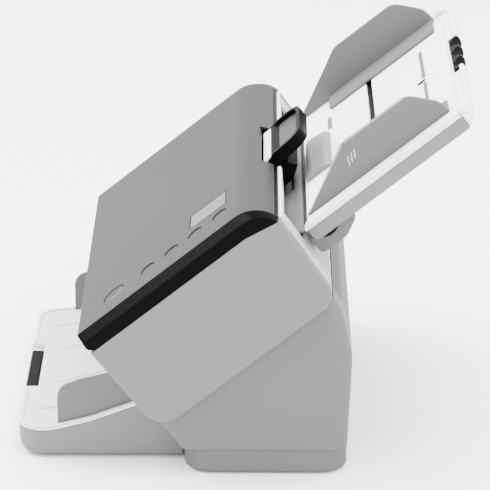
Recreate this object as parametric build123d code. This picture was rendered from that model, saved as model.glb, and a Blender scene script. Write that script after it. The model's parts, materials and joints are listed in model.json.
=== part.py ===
"""Sheet fed document scanner: a tilted scanning head on a stand, a folding input tray and an output tray.

Frame: millimetres, +Z up, +X to the right of someone facing the machine, -Y towards that person.
The origin is on the desk, under the middle of the whole machine's footprint.

Two flat frames carry nearly every outline, and both are extruded across the machine along X:
  desk frame  (y, z)  y runs back from a datum near the front of the stand, z up from the desk
  head frame  (s, n)  s runs up and back along the sloping face, n stands out of that face
"""
from build123d import *
from math import acos, cos, pi, radians, sin, sqrt, tan
import os

# ---- overall ----
TILT = 38.7              # slope of the control face and of the input tray, degrees
FOOTPRINT_MIDDLE = 82.18 # distance from the desk frame's datum to the origin
HEAD_HALF = 156.0        # half the width over the side covers
HOUSING_HALF = 145.7     # half the width of the housings between the side covers
STAND_HALF = 148.0
WALL = 2.5
SEAM = 0.5               # visible parting line between fixed covers

# ---- base and stand (desk frame) ----
FOOT_HEIGHT = 1.5
PLINTH_FRONT, PLINTH_BACK = 39.0, 161.0
PLINTH_TOP = 20.3
PLINTH_CORNER = 20.0
STAND_CORNER = 9.0

# ---- head (head frame) ----
HEAD_FRONT = 41.0
HEAD_BOTTOM = 15.8
PARTING = 96.0           # where the opening cover meets the fixed head at the sides
FACE = 111.0             # control face
COVER_END = 213.8
COVER_ROLL = 26.0        # radius of the rolled upper end of the control face
FACE_HALF = 148.0        # half the width of the control face
BEVEL_DOWN = 5.5         # drop of the bevel from the control face to the outer band
COVER_HINGE = (43.4, 94.6)
HINGE_BEAD = 2.9
HINGE_PIN_R = 1.2

# ---- paper path (head frame) ----
PAPER_FLOOR, PAPER_ROOF = 66.0, 68.4
CHASSIS_X, CHASSIS_T = 124.0, 1.5
ENTRY_S, EXIT_S, PICK_S = 165.0, 75.0, 198.0
DRIVE_R, PICK_R, PINCH_R, SEPARATION_R = 9.0, 10.0, 5.0, 8.5
SHAFT_R = 3.0
RUNNING = 0.05           # radial clearance of a shaft in its bush
TYRE_PROUD = 0.5         # how far a driven tyre stands above the paper floor
NIP = 0.4                # gap between a driven tyre and the roller that faces it

# ---- input tray (head frame) ----
TRAY_HALF = 132.0
TRAY_BOTTOM, TRAY_SEAM, DECK_TOP, RIM_TOP = 54.4, 64.4, 66.5, 69.5
TRAY_START, TRAY_END, CAP_SEAM = 217.0, 371.0, 359.3
CAP_CORNER = 20.0        # plan radius of the end cap's corners
TRAY_HINGE = (229.0, 60.0)
GUIDE_X, GUIDE_FOOT_X, GUIDE_T = 117.0, 87.0, 3.0
GUIDE_TOP = 98.5
SLOT_S, SLOT_WIDTH = 285.8, 5.6

# ---- rack and pinion under the deck ----
MODULE = 1.2
PINION_TEETH = 14
BACKLASH = 0.30
ADDENDUM, DEDENDUM = 0.8, 1.15
PRESSURE = radians(20)

# ---- output tray (desk frame) ----
OUT_HALF = 118.0
OUT_FRONT = -86.0
OUT_CORNER = 20.0
OUT_FIN_X = 113.0
STOP_LOW, STOP_HIGH = -31.0, 39.0
STOP_AXIS = (-78.4, 21.2)

# ---- control face ----
BUTTON_X = 117.5
POWER_S, POWER_R = 73.8, 9.4
BUTTONS = {"back_button": 106.0, "down_button": 128.5, "up_button": 150.6, "select_button": 173.7}
BUTTON_R = 6.2
WINDOW_X, WINDOW_S = (75.5, 103.0), (145.0, 180.0)
LEVER_HALF = 36.0
LEVER_AXIS = (201.0, 92.0)

COS, SIN = cos(radians(TILT)), sin(radians(TILT))
DRIVE_N = PAPER_FLOOR + TYRE_PROUD - DRIVE_R
PICK_N = PAPER_FLOOR + TYRE_PROUD - PICK_R
PINCH_N = PAPER_FLOOR + TYRE_PROUD + NIP + PINCH_R
SEPARATION_N = PAPER_FLOOR + TYRE_PROUD + NIP + SEPARATION_R
PINION_R = MODULE * PINION_TEETH / 2


# ---------------------------------------------------------------- frames and outlines
def desk_frame(x=0.0):
    return Plane(origin=(x, -FOOTPRINT_MIDDLE, 0), x_dir=(0, 1, 0), z_dir=(1, 0, 0))


def head_frame(x=0.0):
    return Plane(origin=(x, -FOOTPRINT_MIDDLE, 0), x_dir=(0, COS, SIN), z_dir=(1, 0, 0))


def face_frame(n):
    """Plane parallel to the control face at height n: its own axes are X and s."""
    return Plane(origin=(0, -FOOTPRINT_MIDDLE - n * SIN, n * COS), x_dir=(1, 0, 0),
                 z_dir=(0, -SIN, COS))


def floor_frame(z):
    """Level plane at height z: its own axes are X and the desk frame's y."""
    return Plane(origin=(0, -FOOTPRINT_MIDDLE, z), x_dir=(1, 0, 0), z_dir=(0, 0, 1))


def outline(*corners):
    """Closed face from corners (u, v) or (u, v, radius)."""
    points = [Vector(c[0], c[1]) for c in corners]
    radii = [c[2] if len(c) > 2 else 0.0 for c in corners]
    count = len(points)
    first, middle, last, reaches = [], [], [], []
    for i, point in enumerate(points):
        back = (points[i - 1] - point).normalized()
        ahead = (points[(i + 1) % count] - point).normalized()
        half = radians(back.get_angle(ahead)) / 2
        reach = radii[i] / tan(half)
        reaches.append(reach)
        inward = (back + ahead).normalized() if radii[i] else Vector(0, 0)
        first.append(point + back * reach)
        last.append(point + ahead * reach)
        middle.append(point + inward * (radii[i] / sin(half) - radii[i]))
    edges = []
    for i in range(count):
        following = (i + 1) % count
        if reaches[i] + reaches[following] > (points[following] - points[i]).length + 1e-6:
            raise ValueError(f"the radii at corners {i} and {following} do not fit between them")
        if radii[i]:
            edges.append(ThreePointArc(first[i], middle[i], last[i]))
        if (first[following] - last[i]).length > 1e-5:
            edges.append(Line(last[i], first[following]))
    return make_face(edges)


def across(face, frame, low, high):
    """Extrude a face drawn in desk_frame or head_frame from X = low to X = high."""
    return extrude(frame(low) * face, amount=high - low, dir=(1, 0, 0))


def head_block(x, s, n):
    """Box given by its (low, high) along X, s and n."""
    return across(outline((s[0], n[0]), (s[1], n[0]), (s[1], n[1]), (s[0], n[1])), head_frame, *x)


def desk_block(x, y, z):
    """Box given by its (low, high) along X, y and z."""
    return across(outline((y[0], z[0]), (y[1], z[0]), (y[1], z[1]), (y[0], z[1])), desk_frame, *x)


def both_sides(shape):
    return [shape, mirror(shape, about=Plane.YZ)]


def rod(x, centre, radius, frame=head_frame, bore=0.0):
    """Round bar along X, hollow when it has a bore."""
    section = Pos(*centre) * Circle(radius)
    if bore:
        section -= Pos(*centre) * Circle(bore)
    return across(section, frame, *x)


def face_pin(x, s, n, radius):
    """Round bar standing along n."""
    return extrude(face_frame(n[0]) * (Pos(x, s) * Circle(radius)), amount=n[1] - n[0])


def face_plate(sketch, n):
    """Plate parallel to the control face, drawn in X and s."""
    return extrude(face_frame(n[0]) * sketch, amount=n[1] - n[0])


def rectangle(x, s, radius=0.0):
    """Rectangle in X and s (or X and y) with rounded corners."""
    return outline((x[0], s[0], radius), (x[1], s[0], radius), (x[1], s[1], radius),
                   (x[0], s[1], radius))


# ---------------------------------------------------------------- base and stand
def rubber_feet():
    feet = []
    for x in (-122, 122):
        for y in (58, 143):
            pad = extrude(floor_frame(0) * (Pos(x, y) * Circle(8)), amount=FOOT_HEIGHT)
            feet.append(chamfer(pad.edges().group_by(Axis.Z)[0], 0.6))
    return feet


def base_plinth():
    low = rectangle((-STAND_HALF + 1, STAND_HALF - 1), (PLINTH_FRONT + 1, PLINTH_BACK), PLINTH_CORNER)
    body = extrude(floor_frame(FOOT_HEIGHT) * low, amount=PLINTH_TOP - SEAM - FOOT_HEIGHT)
    body = chamfer(body.edges().group_by(Axis.Z)[0], 1.2)
    inner = rectangle((-STAND_HALF + 4, STAND_HALF - 4), (PLINTH_FRONT + 4, PLINTH_BACK - 3),
                      PLINTH_CORNER - 3)
    body -= extrude(floor_frame(FOOT_HEIGHT + 2) * inner, amount=40)
    body -= desk_block((-105, 105), (30, 50), (7.5, 18.5))
    for x in (-130, 130):
        for y in (75, 126):
            body -= extrude(floor_frame(0) * (Pos(x, y) * Circle(1.6)), amount=10)
    return body


def base_screws():
    screws = []
    for x in (-130, 130):
        for y in (75, 126):
            shank = extrude(floor_frame(FOOT_HEIGHT + 0.2) * (Pos(x, y) * Circle(1.5)), amount=3.3)
            head = extrude(floor_frame(FOOT_HEIGHT + 3.5) * (Pos(x, y) * Circle(2.9)), amount=1.8)
            slots = Rectangle(3, 0.7) + Rectangle(0.7, 3)
            cross = extrude(floor_frame(FOOT_HEIGHT + 4.5) * (Pos(x, y) * slots), amount=2)
            screws.append(shank + head - cross)
    return screws


def stand_profile(inset=0.0, lip=0.0):
    """Side outline of the stand; lip raises its front top corner against the head's rounded edge."""
    seat = HEAD_BOTTOM - 0.2
    front = HEAD_FRONT + 0.2 + inset * 1.4
    corner = head_point(front, seat + lip)
    seat_start = head_point(front + 0.1 + lip * 1.6, seat)
    seat_back = head_point(204.0, seat)
    return outline((36.0 + inset, PLINTH_TOP), (34.0 + inset * 1.4, 24.6, 2), corner, seat_start,
                   (seat_back[0] - inset, seat_back[1]), (157.2 - inset, 127.0, 30),
                   (164.4 - inset, 93.0, 60), (161.0 - inset, PLINTH_TOP))


def head_point(s, n):
    """Desk frame position of a head frame point."""
    return (s * COS - n * SIN, s * SIN + n * COS)


def stand_block(inset=0.0, lip=0.0):
    """Solid stand with its long edges rounded."""
    half = STAND_HALF - inset
    body = across(stand_profile(inset, lip), desk_frame, -half, half)
    ends = body.faces().sort_by(Axis.X)
    rims = [e for f in (ends[0], ends[-1]) for e in f.edges() if not lies_on_seat(e)]
    rims = [e for e in rims if e.center().Z > PLINTH_TOP + 0.5]
    return fillet(rims, STAND_CORNER - inset) - across(head_outline(-0.2), head_frame, -200, 200)


def stand_housing():
    body = stand_block(lip=12.5) - stand_block(WALL)
    body -= rear_cover_blank(SEAM)
    body += ring_rib()
    body -= desk_block((-52, -30), (150, 170), (33, 47))
    body -= desk_block((22.5, 37.5), (150, 170), (34, 44))
    body -= desk_block((118, 126), (150, 170), (36, 40))
    return body


def lies_on_seat(edge):
    """True for an edge that runs along the underside of the head."""
    centre = edge.center()
    y = centre.Y + FOOTPRINT_MIDDLE
    return -y * SIN + centre.Z * COS > HEAD_BOTTOM - 0.8


def ring_rib():
    """Ledge behind the rear cover's opening that the cover is screwed to."""
    shell = stand_profile(WALL) - stand_profile(WALL + 2)
    frame = across(shell, desk_frame, -122, 122) & desk_block((-122, 122), (140, 170), (50, 148))
    frame &= across(stand_profile(), desk_frame, -122, 122)
    return frame - desk_block((-112, 112), (130, 170), (58, 140))


def rear_cover_blank(grow=0.0):
    """Everything outside the stand's inner surface within the opening of the rear cover."""
    window = desk_block((-116 - grow, 116 + grow), (146 - grow, 175), (54 - grow, 150))
    return window - across(stand_profile(WALL), desk_frame, -118, 118)


def rear_cover():
    shell = stand_profile(0.0) - stand_profile(WALL - 0.02)
    window = desk_block((-116, 116), (146, 175), (54, 144))
    cover = across(shell, desk_frame, -118, 118) & window
    for k in range(5):
        cover -= desk_block((-70, 70), (140, 175), (72 + 6 * k, 74 + 6 * k))
    return cover


# ---------------------------------------------------------------- fixed head
def head_outline(inset=0.0):
    front = HEAD_FRONT + inset
    return outline((front, 120), (front, HEAD_BOTTOM + inset, 18 - inset),
                   (208.6 - inset, HEAD_BOTTOM + inset, 13 - inset), (213.4 - inset, 90.0),
                   (214.0 - inset, 120))


def below_parting(lift=0.0):
    return outline((20, -20), (240, -20), (240, 88.0 + lift), (213, 90.6 + lift),
                   (186, PARTING - 0.7 + lift), (20, PARTING - 0.4 + lift))


def hinge_cove():
    return Pos(*COVER_HINGE) * Circle(HINGE_BEAD + 0.8)


def side_cover():
    """Right side cover: a shallow cap over the end of the head."""
    relief = outline((40, 98), (40, 94.0), (43.5, 97.5))
    face = (head_outline() & below_parting()) - relief
    body = across(face, head_frame, HOUSING_HALF + 0.1, HEAD_HALF)
    rim = [e for e in body.faces().sort_by(Axis.X)[-1].edges() if not near_parting(e)]
    body = fillet(rim, 3.0)
    hollow = head_outline(inset=WALL) & below_parting(-WALL)
    return body - across(hollow, head_frame, HOUSING_HALF - 1, HEAD_HALF - WALL)


def near_parting(edge):
    """True for an edge of a side cover that lies along the parting line."""
    centre = edge.center()
    y = centre.Y + FOOTPRINT_MIDDLE
    return -y * SIN + centre.Z * COS > 89.0


def head_housing():
    front = HEAD_FRONT
    outer = outline((front, 120), (front, HEAD_BOTTOM, 18), (208.8, HEAD_BOTTOM, 13), (213.0, 90),
                    (213.4, 120))
    inner = outline((front + WALL, 120), (front + WALL, HEAD_BOTTOM + WALL, 15.5),
                    (206.0, HEAD_BOTTOM + WALL, 10.5), (210.4, 90), (210.8, 120))
    shell = ((outer - inner) & below_parting()) - hinge_cove()
    body = across(shell, head_frame, -HOUSING_HALF, HOUSING_HALF)
    body -= head_block((-114, 114), (30, 50), (56, 74))
    body -= head_block((-123.2, 123.2), (200, 230), (60, 130))
    body -= head_block((-150, 150), (200, 230), (87.9, 130))
    body -= head_block((-110, 110), (70, 190), (10, 20))
    for x in (-CHASSIS_X, CHASSIS_X):
        body -= head_block((x - 1.5, x + 1.5), (38, 48), (88, 100))
    return body


def chassis_plate():
    """Right side plate that carries the shafts and the cover's hinge pin."""
    hinge_s, hinge_n = COVER_HINGE
    plate = outline((50, 24, 4), (205, 24, 4), (205, 90, 4), (60, 90, 4), (50, 84, 4))
    ear = Pos(hinge_s, hinge_n) * Circle(2.6)
    ear += outline((hinge_s + 0.4, hinge_n - 2.6), (56, 80), (62, 90), (hinge_s + 1.6, hinge_n + 2.05))
    face = plate + ear - Pos(hinge_s, hinge_n) * Circle(HINGE_PIN_R + RUNNING)
    for s, n in ((ENTRY_S, DRIVE_N), (EXIT_S, DRIVE_N), (PICK_S, PICK_N)):
        face -= Pos(s, n) * Circle(5.0)
    for s, n in ((120, 40), (140, 40), (100, 78)):
        face -= Pos(s, n) * Circle(6.0)
    body = across(face, head_frame, CHASSIS_X - CHASSIS_T / 2, CHASSIS_X + CHASSIS_T / 2)
    foot = head_block((CHASSIS_X - 12, CHASSIS_X + CHASSIS_T / 2), (60, 195), (24, 25.5))
    return body + foot


def lower_paper_guide():
    half = CHASSIS_X - CHASSIS_T / 2 - 0.5
    profile = outline((46, 58), (47.8, 58), (56, PAPER_FLOOR - 1.6, 6), (211.8, PAPER_FLOOR - 1.6, 5),
                      (215.0, 61.6), (215.0, 63.6), (212.2, PAPER_FLOOR, 6), (55, PAPER_FLOOR, 6))
    body = across(profile, head_frame, -half, half)
    for s, radius in ((ENTRY_S, DRIVE_R), (EXIT_S, DRIVE_R)):
        for x in DRIVE_TYRES:
            body -= head_block((x - 13, x + 13), (s - radius - 1, s + radius + 1), (60, 70))
    body -= head_block((-27, 27), (PICK_S - PICK_R - 1, PICK_S + PICK_R + 1), (60, 70))
    body -= head_block((-110, 110), (101, 119), (60, 70))
    return body


def sensor_housing(s, n):
    """Contact image sensor body: a long trough with a glass strip on its open side."""
    body = head_block((-109, 109), s, n)
    return chamfer(body.edges().filter_by(Axis.X), 0.8)


def lower_image_sensor():
    body = sensor_housing((101.5, 118.5), (50, 64.4))
    return body - head_block((-104, 104), (105, 115), (56, 70))


def lower_sensor_glass():
    return head_block((-108.5, 108.5), (102, 118), (64.4, 65.9))


def upper_image_sensor():
    body = sensor_housing((127.5, 144.5), (70.1, 84.5))
    return body - head_block((-104, 104), (131, 141), (66, 78))


def upper_sensor_glass():
    return head_block((-108.5, 108.5), (128, 144), (68.6, 70.1))


# ---------------------------------------------------------------- rollers
DRIVE_TYRES = (-75.0, -25.0, 25.0, 75.0)
SHAFT_END = 134.0


def roller_tyres(s, n, radius, centres, width=24.0):
    tyres = []
    for x in centres:
        tyre = rod((x - width / 2, x + width / 2), (s, n), radius, bore=SHAFT_R)
        for k in range(-2, 3):
            ring = rod((x + 4.4 * k - 0.5, x + 4.4 * k + 0.5), (s, n), radius + 1, bore=radius - 0.5)
            tyre -= ring
        tyres.append(tyre)
    return tyres


def shaft_pulley(s, n, radius, x):
    """Flanged belt pulley pressed on a shaft's end."""
    body = rod((x[0], x[1]), (s, n), radius, bore=SHAFT_R)
    for low in (x[0], x[1] - 0.8):
        body += rod((low, low + 0.8), (s, n), radius + 1.6, bore=SHAFT_R)
    return body


def drive_shaft(s):
    """Steel shaft with the belt pulley pressed on its right end."""
    return [rod((-128.5, SHAFT_END), (s, DRIVE_N), SHAFT_R), shaft_pulley(s, DRIVE_N, PULLEY_R, BELT_X)]


def roller_bushes():
    bushes = []
    for s, n in ((ENTRY_S, DRIVE_N), (EXIT_S, DRIVE_N), (PICK_S, PICK_N)):
        for side in (-1, 1):
            low, high = sorted((side * (CHASSIS_X - CHASSIS_T / 2 - 1.2),
                                side * (CHASSIS_X + CHASSIS_T / 2 + 0.8)))
            bush = rod((low, high), (s, n), 4.98, bore=SHAFT_R + RUNNING)
            flange = side * (CHASSIS_X - CHASSIS_T / 2 - 1.2)
            low, high = sorted((flange, flange + side * 1.2))
            bushes.append(bush + rod((low, high), (s, n), 6.4, bore=SHAFT_R + RUNNING))
    return bushes


BELT_X = (126.6, 132.6)
MOTOR_S, MOTOR_N = 130.0, 38.0
PULLEY_R, MOTOR_PULLEY_R, PICK_PULLEY_R = 8.0, 5.0, 7.0


def belt_loop(centres, x):
    """Closed belt lying just clear of the pulleys it runs round; centres are (s, n, radius)."""
    inner = make_hull([e for s, n, r in centres for e in (Pos(s, n) * Circle(r + 0.2)).edges()])
    outer = make_hull([e for s, n, r in centres for e in (Pos(s, n) * Circle(r + 1.4)).edges()])
    return across(outer - inner, head_frame, *x)


def drive_belt():
    return belt_loop(((ENTRY_S, DRIVE_N, PULLEY_R), (EXIT_S, DRIVE_N, PULLEY_R),
                      (MOTOR_S, MOTOR_N, MOTOR_PULLEY_R)), (BELT_X[0] + 1.2, BELT_X[0] + 4.8))


def drive_motor():
    body = rod((60, CHASSIS_X - CHASSIS_T / 2 - 0.2), (MOTOR_S, MOTOR_N), 12.0)
    body = chamfer(body.edges().filter_by(GeomType.CIRCLE), 1.0)
    return body + head_block((66, 78), (MOTOR_S - 5, MOTOR_S + 5), (MOTOR_N - 15, MOTOR_N - 10))


def motor_pulley():
    shaft = rod((CHASSIS_X + CHASSIS_T / 2 + 0.4, 133.0), (MOTOR_S, MOTOR_N), 1.5)
    body = rod(BELT_X, (MOTOR_S, MOTOR_N), MOTOR_PULLEY_R, bore=1.5)
    for low in (BELT_X[0], BELT_X[1] - 0.8):
        body += rod((low, low + 0.8), (MOTOR_S, MOTOR_N), MOTOR_PULLEY_R + 1.6, bore=1.5)
    return shaft + body


# ---------------------------------------------------------------- stand interior
def main_board():
    board = desk_block((-130, 110), (139.0, 140.6), (30, 100))
    chips = [desk_block((-60, -30), (136.5, 139.0), (60, 84)),
             desk_block((0, 14), (137.2, 139.0), (70, 84)),
             desk_block((40, 60), (134.0, 139.0), (40, 50))]
    for chip in chips:
        board += chip
    return board


def power_inlet():
    body = desk_block((-51.7, -30.3), (140.8, 161.0), (33.3, 46.7))
    body -= across_y((-41, 40), 3.2, (149, 175))
    return body


def across_y(centre, radius, y):
    """Round bar along y with its axis at (x, z)."""
    x, z = centre
    bar = Cylinder(radius, y[1] - y[0], align=(Align.CENTER, Align.CENTER, Align.MIN))
    return Pos(x, y[0] - FOOTPRINT_MIDDLE, z) * Rot(X=-90) * bar


def usb_port():
    body = desk_block((23.0, 37.0), (140.8, 161.0), (34.3, 43.7))
    body -= desk_block((24.5, 35.5), (146, 175), (36.2, 42.0))
    return body + desk_block((26.5, 33.5), (144, 158), (38.2, 39.8))


# ---------------------------------------------------------------- opening cover
def cover_outline(inset=0.0):
    """Cover's own side outline, inset evenly from its outer surface."""
    roll = COVER_ROLL - inset
    return outline((40.4 + inset, 60), (COVER_END - inset, 60), (COVER_END - inset, FACE - inset, roll),
                   (40.4 + inset, FACE - inset, 1.2))


def above_parting(lift=0.0):
    return outline((20, 140), (240, 140), (240, 88.6 + lift), (213, 91.2 + lift),
                   (186, PARTING - 0.1 + lift), (20, PARTING + 0.2 + lift))


def lever_notch(start, grow=0.0):
    return head_block((-LEVER_HALF - 4 - grow, LEVER_HALF + 4 + grow), (start, 240), (86, 130))


def bevel_cheek():
    """Right end of the cover: its outline narrows from the control face's edge to the outer band."""
    inner = head_frame(FACE_HALF) * cover_outline()
    roll = COVER_ROLL - BEVEL_DOWN
    band = outline((41.4, 60), (COVER_END - 0.8, 60), (COVER_END - 0.8, FACE - BEVEL_DOWN, roll),
                   (41.4, FACE - BEVEL_DOWN, 4.0))
    cheek = loft([inner.faces()[0], (head_frame(HEAD_HALF) * band).faces()[0]], ruled=True)
    return cheek & across(above_parting(), head_frame, FACE_HALF - 1, HEAD_HALF + 1)


def band_corner():
    """What the rounded lower front corner of the outer band leaves out."""
    return outline((30, 80), (49.6, 80), (49.6, 104.4), (30, 104.4)) - Pos(49.6, 104.4) * Circle(9.0)


def cover_frame():
    body = across(cover_outline() & above_parting(), head_frame, -FACE_HALF, FACE_HALF)
    for cheek in both_sides(bevel_cheek()):
        body += cheek
    skin_seat = across(cover_outline() - cover_outline(2.0), head_frame, -FACE_HALF, FACE_HALF)
    body -= skin_seat & across(above_parting(3.0), head_frame, -FACE_HALF, FACE_HALF)
    body -= across(cover_outline(4.4) & above_parting(-30), head_frame, -151, 151)
    body -= lever_notch(202.5, 1.0)
    body -= both_sides(across(band_corner(), head_frame, HOUSING_HALF, HEAD_HALF + 1))
    bead = rod((-HOUSING_HALF + 0.4, HOUSING_HALF - 0.4), COVER_HINGE, HINGE_BEAD)
    web = head_block((-HOUSING_HALF + 0.4, HOUSING_HALF - 0.4), (41.0, 45.5), (95.4, 99.0))
    body += bead + web
    for x in (-CHASSIS_X, CHASSIS_X):
        body -= head_block((x - 2.2, x + 2.2), (36, 60), (80, 99.4))
        body -= rod((x - 12, x + 12), COVER_HINGE, HINGE_PIN_R)
    for x, s, radius in control_openings():
        body -= face_pin(x, s, (100, 120), radius + 1.5)
    window = rectangle((WINDOW_X[0] - 1, WINDOW_X[1] + 1), (WINDOW_S[0] - 1, WINDOW_S[1] + 1))
    return body - face_plate(window, (100, 120))


def control_openings():
    yield BUTTON_X, POWER_S, POWER_R
    for s in BUTTONS.values():
        yield BUTTON_X, s, BUTTON_R


def cover_skin():
    shell = (cover_outline() - cover_outline(1.9)) & above_parting(3.2)
    body = across(shell, head_frame, -147.8, 147.8)
    body -= lever_notch(205.5)
    for x, s, radius in control_openings():
        body -= face_pin(x, s, (100, 120), radius + 0.4)
    return body - face_plate(rectangle(WINDOW_X, WINDOW_S, 1), (100, 120))


def cover_liner():
    """Pale inner moulding of the cover: an open box that hangs into the head, with a visible rear lip."""
    box = outline((49, PAPER_ROOF), (201, PAPER_ROOF), (214.6, 88.4, 1), (214.6, 90.2), (205, 92.0),
                  (186, 99.4), (47.6, 99.4), (47.6, 78))
    hollow = outline((51, PAPER_ROOF + 2), (199.4, PAPER_ROOF + 2), (210.0, 87), (210.0, 110),
                     (49.6, 110), (49.6, 78))
    body = across(box, head_frame, -118, 118) - across(hollow, head_frame, -116, 116)
    lip = outline((204, 88.8), (214.6, 88.4), (214.6, 90.2), (204, 92.0))
    body += across(lip, head_frame, -145, 145) - across(lip, head_frame, -116, 116)
    body -= head_block((-109.2, 109.2), (127.3, 144.7), (60, 75))
    for s, radius in ((ENTRY_S, PINCH_R), (EXIT_S, PINCH_R)):
        body -= head_block((-104.6, 104.6), (s - 2, s + 2), (60, 75))
        for x in DRIVE_TYRES:
            body -= head_block((x - 11, x + 11), (s - radius - 1, s + radius + 1), (60, 75))
    body -= head_block((-30.4, 30.4), (PICK_S - SEPARATION_R - 1.5, 230), (60, 88.6))
    body -= head_block((-LEVER_HALF - 1.5, LEVER_HALF + 1.5), (196, 230), (86, 96))
    body -= both_sides(head_block((118.2, 121.6), (200, 210), (84, 96)))
    return body - rod((-119, 119), LEVER_AXIS, 2.5 + RUNNING)


def pinch_carriers(s):
    """Posts that hold a pinch axle over the paper path."""
    posts = []
    for x in (-100, -50, 0, 50, 100):
        post = head_block((x - 2, x + 2), (s - 4, s + 4), (PAPER_ROOF + 2, PINCH_N + 7))
        posts.append(post - rod((x - 3, x + 3), (s, PINCH_N), 1.5 + RUNNING))
    return posts


def pinch_axle(s):
    return rod((-104, 104), (s, PINCH_N), 1.5)


def pinch_tyres(s):
    return [rod((x - 9, x + 9), (s, PINCH_N), PINCH_R, bore=1.5) for x in DRIVE_TYRES]


def separation_holder():
    """Black carrier that hangs from the cover over the pick roller."""
    side = outline((190, 86), (190, 78), (194, 73, 2), (214, 73.5, 3), (224, 80.5, 2), (219, 86.4, 2),
                   (209, 88))
    body = across(side, head_frame, -30, 30) - across(side, head_frame, -26, 26)
    crown = outline((190, 86.0), (209, 88.0), (219, 86.4), (224, 80.5), (222.6, 79.4), (216, 84.4),
                    (208, 86.2), (190, 84.8))
    body += across(crown, head_frame, -30, 30)
    return body - rod((-31, 31), (PICK_S, SEPARATION_N), 1.5 + RUNNING)


def panel_board():
    return face_plate(rectangle((68, 130), (60, 184)), (FACE - 8.6, FACE - 7.0))


def display_window():
    pane = face_plate(rectangle((WINDOW_X[0] + 0.15, WINDOW_X[1] - 0.15),
                                (WINDOW_S[0] + 0.15, WINDOW_S[1] - 0.15), 1), (FACE - 3.0, FACE - 0.5))
    return pane + face_plate(rectangle((WINDOW_X[0] + 2, WINDOW_X[1] - 2),
                                       (WINDOW_S[0] + 2, WINDOW_S[1] - 2)), (FACE - 7.0, FACE - 3.0))


def face_button(s, radius):
    """Round push button with a shallow dished top."""
    cap = face_pin(BUTTON_X, s, (FACE - 3.2, FACE - 0.3), radius)
    stem = face_pin(BUTTON_X, s, (FACE - 5.6, FACE - 3.2), radius * 0.4)
    bowl_r = radius * 4
    depth = 0.8
    bowl = face_frame(FACE - 0.3 + bowl_r - depth).location * Pos(BUTTON_X, s) * Sphere(bowl_r)
    return cap + stem - bowl


def hinge_pins():
    return [rod(x, COVER_HINGE, HINGE_PIN_R) for x in ((-CHASSIS_X - 11, -CHASSIS_X + 11),
                                                       (CHASSIS_X - 11, CHASSIS_X + 11))]


# ---------------------------------------------------------------- release lever
def release_lever():
    s0, n0 = LEVER_AXIS
    plan = outline((-LEVER_HALF + 2, s0 - 2), (LEVER_HALF - 2, s0 - 2), (LEVER_HALF, 222, 8),
                   (LEVER_HALF, 243, 13), (-LEVER_HALF, 243, 15), (-LEVER_HALF, 222, 8))
    side = outline((s0 - 3.6, n0 - 3.6, 3.4), (s0 + 8, n0 - 3.6, 4), (214, 91.2, 6), (246, 93.0),
                   (246, 102.4), (216, 100.6, 10), (206.5, 96.4, 5), (s0 - 3.6, n0 + 3.6, 3.4))
    body = face_plate(plan, (80, 110)) & across(side, head_frame, -40, 40)
    dish = outline((-LEVER_HALF + 4, 216, 6), (LEVER_HALF - 4, 216, 6), (LEVER_HALF - 4, 239.5, 9),
                   (-LEVER_HALF + 4, 239.5, 11))
    scoop = face_plate(dish, (80, 120)) & across(outline((214, 101.5), (222, 97.4, 12), (241, 97.9, 6),
                                                         (243, 104), (243, 120), (214, 120)),
                                                         head_frame, -40, 40)
    body -= scoop
    return body - rod((-40, 40), LEVER_AXIS, 2.5)


def latch_shaft():
    return rod((-121.4, 121.4), LEVER_AXIS, 2.5)


def latch_hooks():
    s0, n0 = LEVER_AXIS
    hook = outline((s0 - 4.5, n0 - 4), (s0 - 4.5, n0 + 4.5, 3), (s0 + 4.5, n0 + 4.5, 3), (s0 + 4.5, 82),
                   (s0 - 1, 78.6, 1), (s0 - 9, 79.6, 1), (s0 - 8, 82, 1), (s0 - 3.5, 84, 1))
    body = across(hook, head_frame, 118.6, 121.2) - rod((100, 130), LEVER_AXIS, 2.5)
    return both_sides(body)


def latch_brackets():
    """Posts inside the cover that carry the latch shaft."""
    s0, n0 = LEVER_AXIS
    posts = []
    for low, high in ((98, 102), (42, 46)):
        face = outline((s0 - 6, PAPER_ROOF + 2), (s0 - 3.2, PAPER_ROOF + 2), (s0 + 3.4, 81.4),
                       (s0 + 3.4, 95.2), (s0 - 6, 98.5))
        posts += both_sides(across(face - Pos(s0, n0) * Circle(2.5 + RUNNING), head_frame, low, high))
    return posts


# ---------------------------------------------------------------- input tray
def tray_barrel(radius=12.0):
    return Pos(*TRAY_HINGE) * Circle(radius)


def tray_shell():
    start = TRAY_HINGE[0]
    side = outline((start, TRAY_BOTTOM), (CAP_SEAM, TRAY_BOTTOM), (CAP_SEAM, TRAY_SEAM),
                   (start, TRAY_SEAM))
    side += tray_barrel(9.6) & outline((200, TRAY_BOTTOM), (start, TRAY_BOTTOM), (start, TRAY_SEAM),
                                       (200, TRAY_SEAM))
    body = across(side, head_frame, -TRAY_HALF, TRAY_HALF)
    body -= head_block((-TRAY_HALF + WALL, TRAY_HALF - WALL), (start + 12, CAP_SEAM + 5),
                       (TRAY_BOTTOM + 2, 80))
    for x in (-104, 104):
        body -= head_block((x - 4.6, x + 4.6), (200, start + 11), (40, 80))
    for low, high in ((-118, -90), (90, 118)):
        body -= rod((low, high), TRAY_HINGE, HINGE_R)
    boss = face_pin(0, SLOT_S, (TRAY_BOTTOM + 2, TRAY_BOTTOM + 3.4), 5)
    return body + boss + face_pin(0, SLOT_S, (TRAY_BOTTOM + 2, TRAY_SEAM - 0.4), 2.0)


HINGE_R = 2.5


def tray_hinge_pins():
    return [rod((92, 116), TRAY_HINGE, HINGE_R), rod((-116, -92), TRAY_HINGE, HINGE_R)]


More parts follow.
